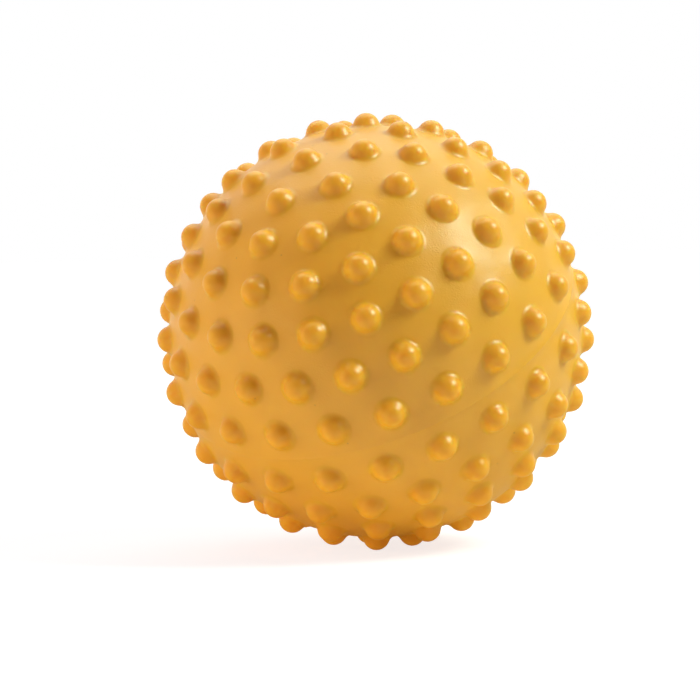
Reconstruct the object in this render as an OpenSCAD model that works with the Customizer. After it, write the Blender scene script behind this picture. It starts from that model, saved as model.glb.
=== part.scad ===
// Sensory ball: a hollow ball of soft PVC, moulded in one piece with rings of round nubs.
// The mould opens at the parting line, and the air valve with its plug sits at one pole.
// The ball lies on three of its nubs, with its centre at the origin and +Z up.

/* [Ball] */
// Diameter of the skin between the nubs
skin_d = 188; // [160:1:230]
// Thickness of the moulded wall, in the skin and in the nubs
wall = 2; // [1.5:0.1:2.5]

/* [Nubs] */
// Radius of a nub's round head
nub_r = 6.2; // [5:0.1:7]
// Depth of the head's centre below the skin
nub_sink = 0.2; // [0:0.1:1]
// Radius of the hollow flare round a nub's foot
flare_r = 3.5; // [2:0.1:4.5]
// Latitude of the ring of nubs next to the parting line
first_ring_lat = 7.8; // [7:0.1:9]
// Step in latitude from one ring to the next
ring_pitch = 13.25; // [12.5:0.05:13.5]

/* [Parting line] */
// Width of the fine ridge that the mould leaves
ridge_w = 1; // [0.6:0.1:2]
// Height of the ridge above the skin
ridge_h = 0.2; // [0.1:0.05:0.4]

/* [Valve] */
// Diameter of the valve's round face in the skin
face_d = 17; // [15:0.5:20]
// Diameter of the flange that is bonded inside the wall
flange_d = 28; // [24:0.5:34]
// Thickness of the flange at its rim
flange_t = 1.5; // [1:0.1:3]
// Outer diameter of the sleeve that grips the plug
sleeve_d = 12; // [11:0.5:14]
// Length of the valve from its face to the inner end of the sleeve
valve_len = 16; // [14:0.5:20]
// Width of the glue line between the valve and the wall
bond_gap = 0.1; // [0.05:0.05:0.2]

/* [Plug] */
// Diameter of the plug's head
head_d = 10; // [9:0.5:12]
// Thickness of the head
head_t = 2.2; // [1.8:0.1:3]
// Depth of the recess that the head sits in
recess = 1; // [0.5:0.1:1.5]
// Diameter of the stem under the head
stem_d = 6.4; // [5.8:0.1:7]
// Diameter of the stem at its tip
tip_d = 5.4; // [4.4:0.1:5.8]
// Length of the stem
stem_len = 12; // [10:0.5:13]
// Diameter of the hollow in the stem
core_d = 3; // [2:0.1:3.4]
// Thickness of the head's floor over the hollow
core_floor = 2; // [1:0.1:4]
// Gap all round between the plug and the valve
plug_gap = 0.15; // [0.1:0.05:0.3]

/* [As it lies] */
// Turn of the lying ball about the upright axis
lay_turn = -124; // [-180:1:180]

/* [Hidden] */
$fn = 48;

// Nubs in each ring from the parting line to the pole, and the longitude where each ring starts
ring_nubs = [22, 22, 20, 16, 12, 6, 1];
ring_start = [3.5, -3.5, -6.5, -15.5, -24, -23.5, 0];
// Ring and place in the ring of the three nubs of the lower half that the ball lies on
foot_nubs = [[4, 9], [4, 10], [3, 12]];
// Angle at which a nub's flare runs out into the skin
runout = 15;
// Steps round the large circles of the skin
skin_fn = 240;

skin_r = skin_d / 2;
pole_ring = len(ring_nubs) - 1;
nub_c = skin_r - nub_sink;
face_z = sqrt(skin_r ^ 2 - (face_d / 2) ^ 2);
seat_z = face_z - recess;
// Half-round profile of the ridge, as a circle through its top and its two edges
ridge_r = (ridge_h ^ 2 + (ridge_w / 2) ^ 2) / (2 * ridge_h);

function nub_lat(ring) = ring == pole_ring ? 90 : first_ring_lat + ring * ring_pitch;
function nub_lon(ring, place) = ring_start[ring] + place * 360 / ring_nubs[ring];
function lower_nub(ring, place) =
    let (lat = nub_lat(ring), lon = nub_lon(ring, place))
    [cos(lat) * cos(lon), -cos(lat) * sin(lon), -sin(lat)];

// Straight down as the ball lies, square to the plane through the three foot nubs
feet = [for (nub = foot_nubs) lower_nub(nub[0], nub[1])];
across_feet = cross(feet[1] - feet[0], feet[2] - feet[0]);
down = across_feet * sign(across_feet * feet[0]) / norm(across_feet);
lean = acos(-down.z);
down_lon = atan2(down.y, down.x);

// Turns the mould's axis, upright in the modules below, to how the ball lies
module as_it_lies() {
    rotate([0, 0, lay_turn]) rotate([0, lean, 0]) rotate([0, 0, -down_lon]) children();
}

// The valve's axis points out of the lower pole
module at_valve() {
    rotate([180, 0, 0]) children();
}

// Both mould halves carry the same rings, but the lower half has the valve in place of its pole nub
module at_nubs() {
    for (half = [0, 1], ring = [0:pole_ring - half], place = [0:ring_nubs[ring] - 1])
        rotate([half * 180, 0, 0]) rotate([0, 90 - nub_lat(ring), nub_lon(ring, place)]) children();
}

// Nub at the top of the ball: a round head on a hollow flare, rooted in the middle of the wall
module nub() {
    reach = skin_r + flare_r * cos(runout);
    flare_z = (reach ^ 2 + nub_c ^ 2 - (nub_r + flare_r) ^ 2) / (2 * nub_c);
    flare_x = sqrt(reach ^ 2 - flare_z ^ 2);
    root = (skin_r - wall / 2) / reach;
    rotate_extrude() {
        intersection() {
            translate([0, nub_c]) circle(nub_r);
            translate([0, nub_c - nub_r]) square([nub_r, 2 * nub_r]);
        }
        difference() {
            polygon([[0, nub_c], [0, flare_z * root], [flare_x, flare_z] * root, [flare_x, flare_z]]);
            translate([flare_x, flare_z]) circle(flare_r);
        }
    }
}

// Hollow that keeps the wall even behind a nub
module nub_hollow() {
    translate([0, 0, nub_c]) sphere(nub_r - wall);
}

module parting_ridge() {
    rotate_extrude($fn = skin_fn) translate([skin_r + ridge_h - ridge_r, 0]) circle(ridge_r);
}

module ball_shell() {
    color("orange") as_it_lies() difference() {
        union() {
            sphere(skin_r, $fn = skin_fn);
            parting_ridge();
            at_nubs() nub();
        }
        sphere(skin_r - wall, $fn = skin_fn);
        at_nubs() nub_hollow();
        at_valve() translate([0, 0, skin_r - 2 * wall]) cylinder(d = face_d, h = 4 * wall);
    }
}

// Stem from the plug's seat inward, wider by gap all round, with the taper carried on over length
module stem(gap, length) {
    shrink = (stem_d - tip_d) * length / stem_len;
    translate([0, 0, seat_z - length])
        cylinder(d1 = stem_d - shrink + 2 * gap, d2 = stem_d + 2 * gap, h = length);
}

// Valve: a face in the skin, a flange bonded inside the wall and a sleeve that grips the plug
module valve_bush() {
    bond_r = skin_r - wall - bond_gap;
    flange_z = sqrt(bond_r ^ 2 - (flange_d / 2) ^ 2) - flange_t;
    color("goldenrod") as_it_lies() at_valve() difference() {
        rotate_extrude() {
            intersection() {
                circle(bond_r, $fn = skin_fn);
                translate([0, flange_z]) square([flange_d / 2, bond_r]);
            }
            translate([0, flange_z]) square([face_d / 2 - bond_gap, face_z - flange_z]);
            translate([0, face_z - valve_len]) square([sleeve_d / 2, valve_len]);
        }
        translate([0, 0, seat_z]) cylinder(d = head_d + 2 * plug_gap, h = 2 * recess);
        stem(plug_gap, valve_len);
    }
}

// Plug: a round-edged head on a tapered stem that is hollow from its tip
module plug() {
    edge_r = head_t / 2;
    color("white") as_it_lies() at_valve() difference() {
        union() {
            rotate_extrude() translate([0, seat_z]) {
                square([head_d / 2 - edge_r, head_t]);
                translate([head_d / 2 - edge_r, edge_r]) circle(edge_r);
            }
            stem(0, stem_len);
        }
        translate([0, 0, seat_z - 2 * stem_len]) cylinder(d = core_d, h = 2 * stem_len + head_t - core_floor);
    }
}

ball_shell();
valve_bush();
plug();
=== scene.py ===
import math

import bmesh
import bpy
from mathutils import Matrix, Vector
from mathutils.geometry import delaunay_2d_cdt


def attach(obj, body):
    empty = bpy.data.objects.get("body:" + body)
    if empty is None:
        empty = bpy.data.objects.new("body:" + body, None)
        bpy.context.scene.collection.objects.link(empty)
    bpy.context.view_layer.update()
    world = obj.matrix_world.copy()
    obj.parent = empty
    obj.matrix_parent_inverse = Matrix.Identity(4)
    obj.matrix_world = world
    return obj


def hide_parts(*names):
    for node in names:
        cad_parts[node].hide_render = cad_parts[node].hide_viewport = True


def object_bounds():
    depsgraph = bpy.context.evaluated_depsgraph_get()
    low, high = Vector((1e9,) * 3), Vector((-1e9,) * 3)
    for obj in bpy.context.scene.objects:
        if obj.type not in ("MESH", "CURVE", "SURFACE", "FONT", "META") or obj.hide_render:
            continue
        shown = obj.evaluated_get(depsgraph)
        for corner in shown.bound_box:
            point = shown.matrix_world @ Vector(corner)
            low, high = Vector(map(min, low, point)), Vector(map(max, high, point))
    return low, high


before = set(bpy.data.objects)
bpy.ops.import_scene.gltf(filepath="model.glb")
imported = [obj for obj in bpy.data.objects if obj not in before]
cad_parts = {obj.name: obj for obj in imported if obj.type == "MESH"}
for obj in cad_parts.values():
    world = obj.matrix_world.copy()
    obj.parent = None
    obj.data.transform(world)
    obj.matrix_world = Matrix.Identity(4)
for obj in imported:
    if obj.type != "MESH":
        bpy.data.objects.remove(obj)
cad_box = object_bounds()


# Ball shell: one hollow ball of soft PVC with all its nubs, cast in a mould of two halves.
# Both halves carry the same rings of nubs, and a fine ridge is left where they meet.
# The lower pole has a round hole for the valve in place of a nub.
skin_r = 0.094
wall = 0.002
head_r = 0.0062
head_sink = 0.0002
flare_r = 0.0035
ring_nubs = [22, 22, 20, 16, 12, 6, 1]
ring_start = [3.5, -3.5, -6.5, -15.5, -24, -23.5, 0]
first_ring_lat = 7.8
ring_pitch = 13.25
pole_ring = len(ring_nubs) - 1
foot_nubs = [(4, 9), (4, 10), (3, 12)]
lay_turn = -124
valve_r = 0.0085
lip_r = wall / 2

# The ridge is uneven: its height swells on one side of the ball and ripples all round.
ridge_w = 0.0010
ridge_h = 0.0002
ridge_least = 0.2
ridge_swell = 0.7
ridge_swell_at = 3.4
ridge_ripple = 0.1
ridge_ripples = 11

nub_segments = 16
head_steps = 5
flare_steps = 4
rim_steps = 300
inner_rim_steps = 60
ridge_half_steps = 2
valve_segments = 48
corner_steps = 4
skin_spacing = 0.004
inner_spacing = 0.010
edge_clearance = 0.6
flat_tolerance = 1e-7
nub_weld = 2e-5


def turned(degrees, axis):
    return Matrix.Rotation(math.radians(degrees), 3, axis)


def nub_turn(half, ring, place):
    lat = 90 if ring == pole_ring else first_ring_lat + ring * ring_pitch
    lon = ring_start[ring] + place * 360 / ring_nubs[ring]
    return turned(half * 180, "X") @ turned(lon, "Z") @ turned(90 - lat, "Y")


def resting_turn():
    """Turn from the mould's axis upright to the ball lying on the tips of its foot nubs."""
    feet = [nub_turn(1, ring, place) @ Vector((0, 0, 1)) for ring, place in foot_nubs]
    down = (feet[1] - feet[0]).cross(feet[2] - feet[0]).normalized()
    down *= math.copysign(1, down.dot(feet[0]))
    lean = math.degrees(math.acos(-down.z))
    down_lon = math.degrees(math.atan2(down.y, down.x))
    return turned(lay_turn, "Z") @ turned(lean, "Y") @ turned(-down_lon, "Z")


as_it_lies = resting_turn()
upper_half = Matrix.Identity(3)
lower_half = turned(180, "X")
at_pole = Matrix.Identity(3)
head_z = skin_r - head_sink
flare_reach = skin_r + flare_r
flare_z = (flare_reach ** 2 + head_z ** 2 - (head_r + flare_r) ** 2) / (2 * head_z)
flare_x = math.sqrt(flare_reach ** 2 - flare_z ** 2)
foot_r = skin_r * flare_x / flare_reach


def level_circle(circle_r, z, count):
    angles = [2 * math.pi * k / count for k in range(count)]
    return [Vector((circle_r * math.cos(a), circle_r * math.sin(a), z)) for a in angles]


def spread_on(radius, spacing, lowest_z, holes):
    """Evenly spread points on the upper half of a sphere, clear of its rim and of round holes."""
    golden = math.pi * (3 - math.sqrt(5))
    cell_area = math.sqrt(0.75) * spacing ** 2
    count = round(4 * math.pi * radius ** 2 / cell_area)
    clearance = edge_clearance * spacing
    points = []
    for k in range(count // 2):
        z = radius * (1 - (2 * k + 1) / count)
        flat = math.sqrt(radius ** 2 - z ** 2)
        point = Vector((flat * math.cos(golden * k), flat * math.sin(golden * k), z))
        clear = all((point - middle).length > reach + clearance for middle, reach in holes)
        if clear and z > lowest_z + clearance:
            points.append(point)
    return points


def half_sphere(radius, rim_z, rim_count, holes, spacing):
    """Upper half of a sphere, with round holes, as points and triangles that face outwards."""
    points = level_circle(math.sqrt(radius ** 2 - rim_z ** 2), rim_z, rim_count)
    loops = [list(range(rim_count))]
    for turn, hole_r, segments in holes:
        loops.append(list(range(len(points), len(points) + segments)))
        hole_z = math.sqrt(radius ** 2 - hole_r ** 2)
        points += [turn @ p for p in level_circle(hole_r, hole_z, segments)]
    hole_of = {index: loop for loop, loop_points in enumerate(loops) for index in loop_points if loop}
    middles = [(turn @ Vector((0, 0, radius)), hole_r) for turn, hole_r, segments in holes]
    points += spread_on(radius, spacing, rim_z, middles)

    # The points are flattened from the lower pole and joined into triangles, with the loops as edges.
    flat = [Vector((p.x, p.y)) / (radius + p.z) for p in points]
    edges = [(loop[k - 1], loop[k]) for loop in loops for k in range(len(loop))]
    joined = delaunay_2d_cdt(flat, edges, [], 0, flat_tolerance)
    source = [ids[0] for ids in joined[3]]
    faces = [tuple(source[k] for k in face) for face in joined[2]]

    # A triangle with all its corners on one hole's edge would close that hole, so it is left out.
    return points, [f for f in faces if len({hole_of.get(k, -k) for k in f}) > 1]


def add_part(parts, points, faces):
    start = len(parts[0])
    parts[0].extend(points)
    parts[1].extend(tuple(k + start for k in face) for face in faces)


def add_band(parts, rows):
    """Closed strip of quads through rows of points that each run once round."""
    start = len(parts[0])
    count = len(rows[0])
    for row in rows:
        parts[0].extend(row)
    for r in range(len(rows) - 1):
        low = start + r * count
        high = low + count
        for k in range(count):
            after = (k + 1) % count
            parts[1].append((low + k, low + after, high + after, high + k))


nub_holes = [(nub_turn(0, ring, place), foot_r, nub_segments)
             for ring in range(pole_ring) for place in range(ring_nubs[ring])]
pole_nub_hole = (at_pole, foot_r, nub_segments)
valve_mouth_hole = (at_pole, valve_r + lip_r, valve_segments)
valve_inner_hole = (at_pole, valve_r, valve_segments)
skin = ([], [])
for side, pole_hole, inner_holes in (
        (upper_half, pole_nub_hole, []),
        (lower_half, valve_mouth_hole, [valve_inner_hole])):
    points, faces = half_sphere(skin_r, ridge_w / 2, rim_steps, nub_holes + [pole_hole], skin_spacing)
    add_part(skin, [side @ p for p in points], faces)
    points, faces = half_sphere(skin_r - wall, 0, inner_rim_steps, inner_holes, inner_spacing)
    add_part(skin, [side @ p for p in points], [f[::-1] for f in faces])

ridge_circle = (ridge_h ** 2 + (ridge_w / 2) ** 2) / (2 * ridge_h)
ridge_rows = []
for step in range(-ridge_half_steps, ridge_half_steps + 1):
    z = step * ridge_w / (2 * ridge_half_steps)
    skin_flat = math.sqrt(skin_r ** 2 - z ** 2)
    ridge_flat = skin_r + ridge_h - ridge_circle + math.sqrt(ridge_circle ** 2 - z ** 2)
    row = []
    for k in range(rim_steps):
        a = 2 * math.pi * k / rim_steps
        swell = (0.5 + 0.5 * math.cos(a - ridge_swell_at)) ** 2
        worn = ridge_least + ridge_swell * swell + ridge_ripple * math.sin(ridge_ripples * a)
        flat = skin_flat + worn * (ridge_flat - skin_flat) * (abs(step) < ridge_half_steps)
        row.append(Vector((flat * math.cos(a), flat * math.sin(a), z)))
    ridge_rows.append(row)
add_band(skin, ridge_rows)

lip_z = math.sqrt(skin_r ** 2 - (valve_r + lip_r) ** 2)
inner_z = math.sqrt((skin_r - wall) ** 2 - valve_r ** 2)
lip_angles = [math.radians(90 * k / corner_steps) for k in range(corner_steps + 1)]
mouth = [(valve_r + lip_r - lip_r * math.sin(a), lip_z - lip_r + lip_r * math.cos(a)) for a in lip_angles]
mouth.append((valve_r, inner_z))
add_band(skin, [[lower_half @ p for p in level_circle(r, z, valve_segments)] for r, z in mouth])

nub_turns = [nub_turn(half, ring, place) for half in (0, 1)
             for ring in range(pole_ring + 1 - half) for place in range(ring_nubs[ring])]
nub_start = len(skin[0])
skin[0].extend(turn @ Vector((0, 0, head_z)) for turn in nub_turns)

skin_mesh = bpy.data.meshes.new("ball_shell_start")
skin_mesh.from_pydata([as_it_lies @ p for p in skin[0]], [], skin[1])
skin_mesh.attributes.new("is_nub", "BOOLEAN", "POINT")
skin_mesh.attributes.new("nub_turn", "FLOAT_VECTOR", "POINT")
for k, turn in enumerate(nub_turns):
    skin_mesh.attributes["is_nub"].data[nub_start + k].value = True
    skin_mesh.attributes["nub_turn"].data[nub_start + k].vector = (as_it_lies @ turn).to_euler()

ball = bpy.data.objects.new("ball_shell_skin", skin_mesh)
bpy.context.scene.collection.objects.link(ball)


def new_tree(name, kind, inputs, outputs):
    tree = bpy.data.node_groups.new(name, kind)
    for in_out, sockets in (("INPUT", inputs), ("OUTPUT", outputs)):
        for label, socket_kind in sockets:
            tree.interface.new_socket(label, in_out=in_out, socket_type=socket_kind)
    return tree


def put(tree, kind, links=(), **settings):
    """Adds a node, sets its properties, and links or sets its inputs by name or by number."""
    node = tree.nodes.new(kind)
    for key, value in settings.items():
        setattr(node, key, value)
    for socket, source in dict(links).items():
        if isinstance(source, bpy.types.NodeSocket):
            tree.links.new(source, node.inputs[socket])
        else:
            node.inputs[socket].default_value = source
    return node


def math_node(tree, operation, a, b=0.0, c=0.0):
    return put(tree, "ShaderNodeMath", {0: a, 1: b, 2: c}, operation=operation).outputs[0]


# Each nub is a grid wrapped round its axis: the head's arc from the tip, then the flare's arc to the skin.
nub_inputs = [("Geometry", "NodeSocketGeometry"), ("Material", "NodeSocketMaterial")]
nub_inputs += [(label, "NodeSocketFloat") for label in (
    "Head Radius", "Flare Radius", "Flare Across", "Flare Up", "Head Sweep", "Flare Sweep", "Weld")]
nub_inputs += [(label, "NodeSocketInt") for label in ("Head Steps", "Flare Steps", "Segments")]
tree = new_tree("nubs_on_skin", "GeometryNodeTree", nub_inputs, [("Geometry", "NodeSocketGeometry")])
given = tree.nodes.new("NodeGroupInput").outputs
steps = math_node(tree, "ADD", given["Head Steps"], given["Flare Steps"])
grid = put(tree, "GeometryNodeMeshGrid", {
    "Size X": 1.0, "Size Y": 1.0,
    "Vertices X": math_node(tree, "ADD", given["Segments"], 1.0),
    "Vertices Y": math_node(tree, "ADD", steps, 1.0)})
where = put(tree, "ShaderNodeSeparateXYZ", {0: tree.nodes.new("GeometryNodeInputPosition").outputs[0]})
around = math_node(tree, "MULTIPLY", math_node(tree, "ADD", where.outputs["X"], 0.5), -2 * math.pi)
step = math_node(tree, "MULTIPLY", math_node(tree, "ADD", where.outputs["Y"], 0.5), steps)
head_share = math_node(tree, "MINIMUM", math_node(tree, "DIVIDE", step, given["Head Steps"]), 1.0)
past_head = math_node(tree, "MAXIMUM", math_node(tree, "SUBTRACT", step, given["Head Steps"]), 0.0)
flare_share = math_node(tree, "DIVIDE", past_head, given["Flare Steps"])
head_angle = math_node(tree, "MULTIPLY", head_share, given["Head Sweep"])
flare_angle = math_node(tree, "MULTIPLY", flare_share, given["Flare Sweep"])
to_skin = math_node(tree, "SUBTRACT", given["Head Sweep"], flare_angle)
head_profile = [math_node(tree, "MULTIPLY", math_node(tree, op, head_angle), given["Head Radius"])
                for op in ("SINE", "COSINE")]
flare_profile = [math_node(tree, "SUBTRACT", given[centre],
                           math_node(tree, "MULTIPLY", math_node(tree, op, to_skin), given["Flare Radius"]))
                 for centre, op in (("Flare Across", "SINE"), ("Flare Up", "COSINE"))]
past = math_node(tree, "GREATER_THAN", past_head, 0.0)
profile = [put(tree, "GeometryNodeSwitch", {"Switch": past, "False": head, "True": flare},
               input_type="FLOAT").outputs[0] for head, flare in zip(head_profile, flare_profile)]
wrapped = put(tree, "ShaderNodeCombineXYZ", {
    "X": math_node(tree, "MULTIPLY", profile[0], math_node(tree, "COSINE", around)),
    "Y": math_node(tree, "MULTIPLY", profile[0], math_node(tree, "SINE", around)),
    "Z": profile[1]})
nub = put(tree, "GeometryNodeSetPosition", {
    "Geometry": grid.outputs["Mesh"], "Position": wrapped.outputs[0]})
rise = put(tree, "GeometryNodeStoreNamedAttribute", {
    "Geometry": nub.outputs[0], "Name": "nub_rise",
    "Value": math_node(tree, "DIVIDE", profile[1], given["Head Radius"])}, data_type="FLOAT")
nub_flag = put(tree, "GeometryNodeInputNamedAttribute", {"Name": "is_nub"}, data_type="BOOLEAN")
apart = put(tree, "GeometryNodeSeparateGeometry", {
    "Geometry": given["Geometry"], "Selection": nub_flag.outputs["Attribute"]})
turns = put(tree, "GeometryNodeInputNamedAttribute", {"Name": "nub_turn"}, data_type="FLOAT_VECTOR")
standing = put(tree, "FunctionNodeEulerToRotation", {0: turns.outputs["Attribute"]})
nubs = put(tree, "GeometryNodeInstanceOnPoints", {
    "Points": apart.outputs["Selection"], "Instance": rise.outputs["Geometry"],
    "Rotation": standing.outputs[0]})
real_nubs = put(tree, "GeometryNodeRealizeInstances", {"Geometry": nubs.outputs[0]})
joined = tree.nodes.new("GeometryNodeJoinGeometry")
tree.links.new(apart.outputs["Inverted"], joined.inputs[0])
tree.links.new(real_nubs.outputs[0], joined.inputs[0])
welded = put(tree, "GeometryNodeMergeByDistance", {
    "Geometry": joined.outputs[0], "Distance": given["Weld"]})
smooth = put(tree, "GeometryNodeSetShadeSmooth", {"Geometry": welded.outputs[0]})
dressed = put(tree, "GeometryNodeSetMaterial", {
    "Geometry": smooth.outputs[0], "Material": given["Material"]})
tree.links.new(dressed.outputs[0], tree.nodes.new("NodeGroupOutput").inputs[0])


def blend(tree, share, first, second):
    """Colour between first and second."""
    return put(tree, "ShaderNodeMix", {0: share, 6: first, 7: second}, data_type="RGBA").outputs[2]


def ramp(tree, value, low, high, at_low=0.0, at_high=1.0, kind="LINEAR"):
    """Number that goes from at_low to at_high as the value goes from low to high."""
    return put(tree, "ShaderNodeMapRange", {
        "Value": value, "From Min": low, "From Max": high, "To Min": at_low, "To Max": at_high},
        interpolation_type=kind).outputs[0]


# Finish of the moulded PVC: pebble grain from the mould, slow drifts of tone and a few fine specks.
pebble_share = 0.6
patch_share = 0.15
patch_span = (0.35, 0.65)
patch_depths = (0.4, 1.4)
speck_core = 0.04
speck_edge = 0.09
bare_cells = 0.85
grain = new_tree(
    "moulded_grain", "ShaderNodeTree",
    [("Place", "NodeSocketVector"), ("Grain Scale", "NodeSocketFloat"),
     ("Tone Scale", "NodeSocketFloat"), ("Speck Scale", "NodeSocketFloat")],
    [("Height", "NodeSocketFloat"), ("Tone", "NodeSocketFloat"), ("Specks", "NodeSocketFloat")])
given = grain.nodes.new("NodeGroupInput").outputs
pebbles = put(grain, "ShaderNodeTexVoronoi", {
    "Vector": given["Place"], "Scale": given["Grain Scale"], "Smoothness": 0.6}, feature="SMOOTH_F1")
pores = put(grain, "ShaderNodeTexNoise", {
    "Vector": given["Place"], "Scale": given["Grain Scale"], "Detail": 3.0, "Roughness": 0.55})
pebble_rise = math_node(grain, "MULTIPLY", pebbles.outputs["Distance"], pebble_share)
patches = put(grain, "ShaderNodeTexNoise", {
    "Vector": given["Place"], "Detail": 2.0,
    "Scale": math_node(grain, "MULTIPLY", given["Grain Scale"], patch_share)})
patchy = ramp(grain, patches.outputs[0], *patch_span, *patch_depths)
pebbled = math_node(grain, "SUBTRACT", pores.outputs[0], pebble_rise)
drift = put(grain, "ShaderNodeTexNoise", {
    "Vector": given["Place"], "Scale": given["Tone Scale"], "Detail": 4.0, "Roughness": 0.6})
cells = put(grain, "ShaderNodeTexVoronoi", {"Vector": given["Place"], "Scale": given["Speck Scale"]})
speck = ramp(grain, cells.outputs["Distance"], speck_core, speck_edge, at_low=1.0, at_high=0.0)
cell_pick = put(grain, "ShaderNodeSeparateColor", {0: cells.outputs["Color"]})
picked = math_node(grain, "GREATER_THAN", cell_pick.outputs[0], bare_cells)
put(grain, "NodeGroupOutput", {
    "Height": math_node(grain, "MULTIPLY", patchy, pebbled), "Tone": drift.outputs[0],
    "Specks": math_node(grain, "MULTIPLY", speck, picked)})


def new_material(name):
    material = bpy.data.materials.new(name)
    material.use_nodes = True
    return material, material.node_tree, material.node_tree.nodes["Principled BSDF"]


def moulded_finish(tree, grain_scale, tone_scale, speck_scale):
    """Outputs of the moulded grain at a material's own scales."""
    return put(tree, "ShaderNodeGroup", {
        "Place": tree.nodes.new("ShaderNodeTexCoord").outputs["Object"], "Grain Scale": grain_scale,
        "Tone Scale": tone_scale, "Speck Scale": speck_scale}, node_tree=grain).outputs


def add_colour(tree, shader, tone, specks, speck_share, speck_tone):
    colour = blend(tree, math_node(tree, "MULTIPLY", specks, speck_share), tone, speck_tone)
    tree.links.new(colour, shader.inputs["Base Color"])


def add_bump(tree, shader, distance, height):
    bump = put(tree, "ShaderNodeBump", {"Strength": 1.0, "Distance": distance, "Height": height})
    tree.links.new(bump.outputs[0], shader.inputs["Normal"])


# The soft PVC lets light through, most of all in the nubs' heads, which are also duller than their feet.
skin_tones = [(0.76, 0.332, 0.022, 1), (0.86, 0.379, 0.029, 1)]
head_tones = [(0.735, 0.336, 0.010, 1), (0.826, 0.380, 0.013, 1)]
skin_speck_tone = (0.36, 0.17, 0.03, 1)
skin_speck_share = 0.4
head_from = 0.15
head_full = 0.6
top_from = 0.42
top_full = 0.65
skin_through = 0.35
head_more_through = 0.6
skin_roughness = 0.42
foot_gloss = 0.05
top_dull = 0.13
uneven_gloss = 0.12
skin_grain_h = 0.00008
skin_material, skin_nodes, shader = new_material("soft_pvc_orange")
shader.inputs["Specular IOR Level"].default_value = 0.52
shader.inputs["Subsurface Radius"].default_value = (1.0, 0.7, 0.3)
shader.inputs["Subsurface Scale"].default_value = 0.005
finish = moulded_finish(skin_nodes, grain_scale=1300.0, tone_scale=14.0, speck_scale=150.0)
rise_here = put(skin_nodes, "ShaderNodeAttribute", attribute_name="nub_rise").outputs["Fac"]
on_head = ramp(skin_nodes, rise_here, head_from, head_full, kind="SMOOTHSTEP")
on_top = ramp(skin_nodes, rise_here, top_from, top_full, kind="SMOOTHSTEP")
through = math_node(skin_nodes, "MULTIPLY_ADD", on_head, head_more_through, skin_through)
skin_nodes.links.new(through, shader.inputs["Subsurface Weight"])
skin_tone = blend(skin_nodes, finish["Tone"], *skin_tones)
head_tone = blend(skin_nodes, finish["Tone"], *head_tones)
tone = blend(skin_nodes, on_head, skin_tone, head_tone)
add_colour(skin_nodes, shader, tone, finish["Specks"], skin_speck_share, skin_speck_tone)
least_rough = skin_roughness - uneven_gloss / 2
uneven = math_node(skin_nodes, "MULTIPLY_ADD", finish["Tone"], uneven_gloss, least_rough)
glossy_feet = math_node(skin_nodes, "MULTIPLY_ADD", on_head, -foot_gloss, uneven)
satin = math_node(skin_nodes, "MULTIPLY_ADD", on_top, top_dull, glossy_feet)
skin_nodes.links.new(satin, shader.inputs["Roughness"])
off_head = math_node(skin_nodes, "SUBTRACT", 1.0, on_head)
add_bump(skin_nodes, shader, skin_grain_h, math_node(skin_nodes, "MULTIPLY", finish["Height"], off_head))

head_sweep = math.atan2(flare_x, flare_z - head_z)
flare_sweep = head_sweep - math.atan2(flare_x, flare_z)
modifier = ball.modifiers.new("nubs", "NODES")
modifier.node_group = tree
nub_sizes = {
    "Head Radius": head_r, "Flare Radius": flare_r, "Flare Across": flare_x, "Flare Up": flare_z - head_z,
    "Head Sweep": head_sweep, "Flare Sweep": flare_sweep, "Weld": nub_weld,
    "Head Steps": head_steps, "Flare Steps": flare_steps, "Segments": nub_segments,
    "Material": skin_material}
for item in tree.interface.items_tree:
    if item.in_out == "INPUT" and item.name in nub_sizes:
        modifier[item.identifier] = nub_sizes[item.name]


def as_plain_mesh(piece):
    """Turns a piece's evaluated modifiers into its own mesh."""
    bpy.context.view_layer.update()
    evaluated = piece.evaluated_get(bpy.context.evaluated_depsgraph_get())
    mesh = bpy.data.meshes.new_from_object(evaluated)
    piece.modifiers.clear()
    piece.data = mesh


as_plain_mesh(ball)
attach(ball, "ball")
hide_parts("ball_shell")


# Valve bush: a rubber moulding with a round face flush in the skin, a wide flange and a sleeve behind it.
# It is glued to the inside of the wall through the hole at the lower pole, and its sleeve grips the plug.
bond_gap = 0.0001
plug_gap = 0.00015
valve_len = 0.016
sleeve_r = 0.006
flange_r = 0.014
flange_t = 0.0015
recess = 0.001
plug_head_r = 0.005
stem_r = 0.0032
tip_r = 0.0027
stem_len = 0.012
profile_weld = 1e-7
face_z = math.sqrt(skin_r ** 2 - valve_r ** 2)
seat_z = face_z - recess
bond_r = skin_r - wall - bond_gap
flange_z = math.sqrt(bond_r ** 2 - flange_r ** 2)
face_r = valve_r - bond_gap
bond_z = math.sqrt(bond_r ** 2 - face_r ** 2)
sleeve_z = face_z - valve_len
bore_end_r = stem_r + plug_gap - (stem_r - tip_r) * (seat_z - sleeve_z) / stem_len
to_valve = as_it_lies @ lower_half


def round_corners(outline):
    """Profile through corners given as across, up and corner radius."""
    points = []
    for k, (across, up, radius) in enumerate(outline):
        here = Vector((across, up))
        if not radius:
            points.append(here)
            continue
        to_last = (Vector(outline[k - 1][:2]) - here).normalized()
        to_next = (Vector(outline[(k + 1) % len(outline)][:2]) - here).normalized()
        half_angle = to_last.angle(to_next) / 2
        centre = here + (to_last + to_next).normalized() * radius / math.sin(half_angle)
        start = here + to_last * radius / math.tan(half_angle) - centre
        end = here + to_next * radius / math.tan(half_angle) - centre
        for step in range(corner_steps + 1):
            points.append(centre + start.lerp(end, step / corner_steps).normalized() * radius)
    return points


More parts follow.
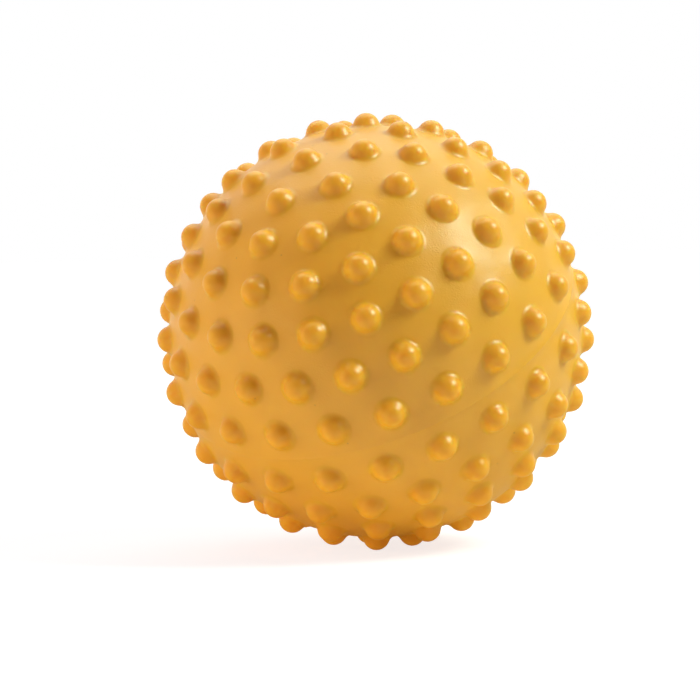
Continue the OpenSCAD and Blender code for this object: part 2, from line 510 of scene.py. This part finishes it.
def revolved(name, profile, closed):
    """Piece turned about the valve's axis, closed at the axis or into a ring."""
    parts = ([], [])
    rows = [[to_valve @ q for q in level_circle(p.x, p.y, valve_segments)] for p in profile]
    add_band(parts, rows + rows[:1] if closed else rows)
    shape = bmesh.new()
    corners = [shape.verts.new(p) for p in parts[0]]
    for face in parts[1]:
        shape.faces.new([corners[k] for k in face])
    bmesh.ops.remove_doubles(shape, verts=shape.verts, dist=profile_weld)
    bmesh.ops.recalc_face_normals(shape, faces=shape.faces)
    for face in shape.faces:
        face.smooth = True
    mesh = bpy.data.meshes.new(name)
    shape.to_mesh(mesh)
    shape.free()
    piece = bpy.data.objects.new(name, mesh)
    bpy.context.scene.collection.objects.link(piece)
    return piece


valve_profile = round_corners([
    (bore_end_r, sleeve_z, 0.0004),
    (sleeve_r, sleeve_z, 0.0005),
    (sleeve_r, flange_z - flange_t, 0.0008),
    (flange_r, flange_z - flange_t, 0.0004),
    (flange_r, flange_z, 0.0002),
    (face_r, bond_z, 0.0002),
    (face_r, face_z, 0.0003),
    (plug_head_r + plug_gap, face_z, 0.0002),
    (plug_head_r + plug_gap, seat_z, 0.0001),
    (stem_r + plug_gap, seat_z, 0.0002)])
valve = revolved("valve_bush_rubber", valve_profile, closed=True)

# The rubber is dull, with fine turned rings from its mould, and it darkens in patches round the plug and in
# its recess, partly grime and partly painted shade.
rubber_tones = [(0.56, 0.235, 0.018, 1), (0.68, 0.295, 0.026, 1)]
grime_and_shade_tone = (0.20, 0.10, 0.03, 1)
grime_and_shade_share = 0.6
grime_and_shade_full_r = 0.0048
grime_and_shade_end_r = 0.0066
rubber_speck_tone = (0.25, 0.12, 0.03, 1)
rubber_speck_share = 0.5
rubber_roughness = 0.5
rubber_uneven = 0.2
ring_wave = 9000.0
ring_share = 0.15
rubber_grain_h = 0.00006
valve_material, valve_nodes, shader = new_material("valve_rubber_dark_orange")
shader.inputs["Specular IOR Level"].default_value = 0.35
finish = moulded_finish(valve_nodes, grain_scale=1600.0, tone_scale=120.0, speck_scale=300.0)
on_axis = put(valve_nodes, "ShaderNodeMapping", {
    "Vector": valve_nodes.nodes.new("ShaderNodeTexCoord").outputs["Object"],
    "Rotation": to_valve.transposed().to_euler()})
sides = put(valve_nodes, "ShaderNodeSeparateXYZ", {0: on_axis.outputs[0]})
across_squared = [math_node(valve_nodes, "POWER", sides.outputs[side], 2.0) for side in ("X", "Y")]
from_axis = math_node(valve_nodes, "SQRT", math_node(valve_nodes, "ADD", *across_squared))
# Grime and painted shade: darker in patches near the plug and in the recess round it, fading out across the
# face.
grime_and_shade = ramp(valve_nodes, from_axis, grime_and_shade_full_r, grime_and_shade_end_r, at_low=grime_and_shade_share, at_high=0.0)
patchy_grime_and_shade = math_node(valve_nodes, "MULTIPLY", grime_and_shade, finish["Tone"])
tone = blend(valve_nodes, finish["Tone"], *rubber_tones)
grimed_and_shaded = blend(valve_nodes, patchy_grime_and_shade, tone, grime_and_shade_tone)
add_colour(valve_nodes, shader, grimed_and_shaded, finish["Specks"], rubber_speck_share, rubber_speck_tone)
dull = math_node(valve_nodes, "MULTIPLY_ADD", finish["Tone"], rubber_uneven, rubber_roughness)
valve_nodes.links.new(dull, shader.inputs["Roughness"])
rings = math_node(valve_nodes, "SINE", math_node(valve_nodes, "MULTIPLY", from_axis, ring_wave))
ringed = math_node(valve_nodes, "MULTIPLY_ADD", rings, ring_share, finish["Height"])
add_bump(valve_nodes, shader, rubber_grain_h, ringed)
valve.data.materials.append(valve_material)
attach(valve, "ball")
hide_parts("valve_bush")


# Plug: one moulding of stiff milky PVC, with a round-edged, dished head and a tapered hollow stem.
# It is pushed into the valve by hand, and its head stands a little proud of the face so a nail can lift it.
head_t = 0.0022
edge_flat = 0.00002
edge_r = head_t / 2 - edge_flat
core_r = 0.0015
core_floor = 0.002
dish_r = 0.0026
dish_t = 0.0003
dish_slope = 0.0005
head_top = seat_z + head_t
tip_z = seat_z - stem_len
plug_profile = round_corners([
    (0, head_top - dish_t, 0),
    (dish_r, head_top - dish_t, 0.0002),
    (dish_r + dish_slope, head_top, 0.0002),
    (plug_head_r, head_top, edge_r),
    (plug_head_r, seat_z, edge_r),
    (stem_r, seat_z, 0.0002),
    (tip_r, tip_z, 0.0004),
    (core_r, tip_z, 0.0002),
    (core_r, head_top - core_floor, 0.0004),
    (0, head_top - core_floor, 0)])
plug = revolved("plug_stopper", plug_profile, closed=False)

milky_tones = [(0.78, 0.70, 0.61, 1), (0.90, 0.83, 0.75, 1)]
plug_speck_tone = (0.4, 0.34, 0.24, 1)
plug_speck_share = 0.3
plug_roughness = 0.18
plug_uneven = 0.25
plug_grain_h = 0.00002
plug_material, plug_nodes, shader = new_material("plug_milky_pvc")
shader.inputs["Subsurface Weight"].default_value = 0.25
shader.inputs["Subsurface Radius"].default_value = (1.0, 0.9, 0.7)
shader.inputs["Subsurface Scale"].default_value = 0.0015
finish = moulded_finish(plug_nodes, grain_scale=2500.0, tone_scale=160.0, speck_scale=400.0)
tone = blend(plug_nodes, finish["Tone"], *milky_tones)
add_colour(plug_nodes, shader, tone, finish["Specks"], plug_speck_share, plug_speck_tone)
gloss = math_node(plug_nodes, "MULTIPLY_ADD", finish["Tone"], plug_uneven, plug_roughness)
plug_nodes.links.new(gloss, shader.inputs["Roughness"])
add_bump(plug_nodes, shader, plug_grain_h, finish["Height"])
plug.data.materials.append(plug_material)
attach(plug, "plug")
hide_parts("plug")


# Floor: a wide white board under the ball that keeps its soft shadow, with a faint warm painted glow under it
# that lights the ball from below though it is no lamp.
# The camera sees it as white as the backdrop, and sees through it from below. In reflections it shows a
# painted glow, none near the ball and brighter further off.
floor_reach = 6
floor_tone = (0.85, 0.85, 0.85, 1)
painted_glow_tone = (1.0, 0.98, 0.7, 1)
shadow_tone = (0.38, 0.35, 0.38, 1)
mirrored_shadow_tone = (0.35, 0.35, 0.35, 1)
painted_glow_full_r = 0.15
painted_glow_end_r = 0.25
painted_glow_strength = 0.28
shadow_r = 0.3
white_r = 1.2
near_white = 0.76
painted_reflection_dark_r = 0.12
painted_reflection_light_r = 0.9
painted_reflection_strength = 0.6
floor_z = cad_box[0][2]
floor_mesh = bpy.data.meshes.new("floor")
floor_corners = [(x * floor_reach, y * floor_reach, floor_z) for x, y in ((-1, -1), (1, -1), (1, 1), (-1, 1))]
floor_mesh.from_pydata(floor_corners, [], [(0, 1, 2, 3)])
floor = bpy.data.objects.new("floor", floor_mesh)
bpy.context.scene.collection.objects.link(floor)


def seen_directly(tree):
    """1 for rays from the camera, in reflections and through clear pieces."""
    rays = tree.nodes.new("ShaderNodeLightPath").outputs
    seen = math_node(tree, "ADD", rays["Is Camera Ray"], rays["Is Glossy Ray"])
    return put(tree, "ShaderNodeMath", {0: seen, 1: rays["Is Transmission Ray"]}, use_clamp=True).outputs[0]


floor_material, floor_nodes, board = new_material("white_floor")
board.inputs["Base Color"].default_value = floor_tone
board.inputs["Roughness"].default_value = 0.9
board.inputs["Emission Color"].default_value = painted_glow_tone
spot = put(floor_nodes, "ShaderNodeVectorMath", {
    0: floor_nodes.nodes.new("ShaderNodeTexCoord").outputs["Object"]}, operation="LENGTH").outputs["Value"]
# Painted light: the board glows warm in a spot under the ball for all rays but the camera's and reflections,
# so it lights the ball's underside from below.
painted_glow_under_ball = ramp(floor_nodes, spot, painted_glow_full_r, painted_glow_end_r, at_low=painted_glow_strength, at_high=0.0)
floor_nodes.links.new(painted_glow_under_ball, board.inputs["Emission Strength"])
rays = floor_nodes.nodes.new("ShaderNodeLightPath").outputs
whiteness = ramp(floor_nodes, spot, shadow_r, white_r, at_low=near_white)
# Painted reflection: in reflections the board glows, not at all near the ball and more further off, standing
# in for the light on a lit floor.
painted_reflection_glow = ramp(floor_nodes, spot, painted_reflection_dark_r, painted_reflection_light_r, at_high=painted_reflection_strength)
glow_level = put(floor_nodes, "ShaderNodeMix", {
    0: rays["Is Glossy Ray"], 2: whiteness, 3: painted_reflection_glow}).outputs[0]
glow = put(floor_nodes, "ShaderNodeEmission", {"Color": (1, 1, 1, 1), "Strength": glow_level})
shade_tone = blend(floor_nodes, rays["Is Glossy Ray"], shadow_tone, mirrored_shadow_tone)
shade = put(floor_nodes, "ShaderNodeBsdfDiffuse", {"Color": shade_tone})
white = put(floor_nodes, "ShaderNodeAddShader", {0: glow.outputs[0], 1: shade.outputs[0]})
top_side = put(floor_nodes, "ShaderNodeMixShader", {
    0: seen_directly(floor_nodes), 1: board.outputs[0], 2: white.outputs[0]})
underside = floor_nodes.nodes.new("ShaderNodeNewGeometry").outputs["Backfacing"]
from_below = math_node(floor_nodes, "MULTIPLY", underside, rays["Is Camera Ray"])
clear = floor_nodes.nodes.new("ShaderNodeBsdfTransparent")
both_sides = put(floor_nodes, "ShaderNodeMixShader", {
    0: from_below, 1: top_side.outputs[0], 2: clear.outputs[0]})
floor_nodes.links.new(both_sides.outputs[0], floor_nodes.nodes["Material Output"].inputs["Surface"])
floor_mesh.materials.append(floor_material)


# Studio light: white surroundings, a key box at the upper right, a wide box overhead, fills from the left
# and a low warm fill in front. The room that shows in reflections is lighter behind the ball and to the left.
ambient_strength = 0.02
room_grey = 0.28
room_to_left = 0.4
room_behind = 0.7
world = bpy.data.worlds.new("studio")
bpy.context.scene.world = world
world.use_nodes = True
world_nodes = world.node_tree
ambient = world_nodes.nodes["Background"]
ambient.inputs["Color"].default_value = (1, 1, 1, 1)
ambient.inputs["Strength"].default_value = ambient_strength
direction = put(world_nodes, "ShaderNodeSeparateXYZ", {
    0: world_nodes.nodes.new("ShaderNodeTexCoord").outputs["Generated"]}).outputs
behind = ramp(world_nodes, direction["Y"], 0.0, room_behind)
to_left = math_node(world_nodes, "MULTIPLY_ADD", direction["X"], -room_to_left, room_grey)
room = math_node(world_nodes, "MAXIMUM", behind, to_left)
in_gloss = world_nodes.nodes.new("ShaderNodeLightPath").outputs["Is Glossy Ray"]
not_gloss = math_node(world_nodes, "SUBTRACT", 1.0, in_gloss)
backdrop = put(world_nodes, "ShaderNodeBackground", {
    "Color": (1, 1, 1, 1), "Strength": math_node(world_nodes, "MAXIMUM", room, not_gloss)})
surroundings = put(world_nodes, "ShaderNodeMixShader", {
    0: seen_directly(world_nodes), 1: ambient.outputs[0], 2: backdrop.outputs[0]})
world_nodes.links.new(surroundings.outputs[0], world_nodes.nodes["World Output"].inputs["Surface"])


def softbox(name, place, size, watts, tint, in_reflections):
    """Lamp aimed at the ball, which the camera never sees and reflections may show."""
    lamp = bpy.data.lights.new(name, "AREA")
    lamp.shape = "RECTANGLE"
    lamp.size = size[0]
    lamp.size_y = size[1]
    lamp.energy = watts
    lamp.color = tint
    holder = bpy.data.objects.new(name, lamp)
    holder.location = place
    holder.rotation_euler = (-Vector(place)).to_track_quat("-Z", "Y").to_euler()
    holder.visible_camera = False
    holder.visible_glossy = in_reflections
    bpy.context.scene.collection.objects.link(holder)


softbox("key", (1.0, -0.26, 0.94), (0.5, 0.5), 21.5, (0.82, 1.0, 0.83), True)
softbox("overhead", (-0.07, 0.46, 1.32), (1.4, 1.2), 11, (0.88, 1.0, 0.90), True)
softbox("back", (0, 1.3, 0.53), (1.6, 0.8), 0.8, (1.0, 1.0, 1.0), True)
softbox("left", (-1.33, -0.42, 0.15), (1.1, 0.45), 7.7, (0.86, 1.0, 0.93), False)
softbox("left_back", (-1.26, 0.49, 0.14), (1.0, 0.4), 2.3, (0.90, 1.0, 1.0), False)
softbox("left_up", (-1.05, -0.14, 0.91), (0.8, 0.8), 4.0, (1.0, 0.78, 0.88), False)
softbox("low_front", (-0.77, -1.16, 0.0), (0.8, 0.18), 1.8, (1.0, 0.45, 0.7), False)


# Camera: a long lens from the front, a little above the ball's middle and rolled slightly,
# aimed beside the ball's centre so that the ball stands right of the middle of the picture.
camera_distance = 1.6
camera_elevation = 2.8
camera_roll = 1.1
camera_lens = 180
camera_sensor = 36
aim_offset = Vector((-0.0117, -0.0085, 0))
camera_data = bpy.data.cameras.new("camera")
camera_data.lens = camera_lens
camera_data.sensor_width = camera_sensor
camera = bpy.data.objects.new("camera", camera_data)
facing = turned(90 - camera_elevation, "X") @ turned(-camera_roll, "Z")
camera_place = facing @ aim_offset + facing @ Vector((0, 0, camera_distance))
camera.matrix_world = Matrix.Translation(camera_place) @ facing.to_4x4()
bpy.context.scene.collection.objects.link(camera)
bpy.context.scene.camera = camera
bpy.context.scene.view_settings.view_transform = "Standard"
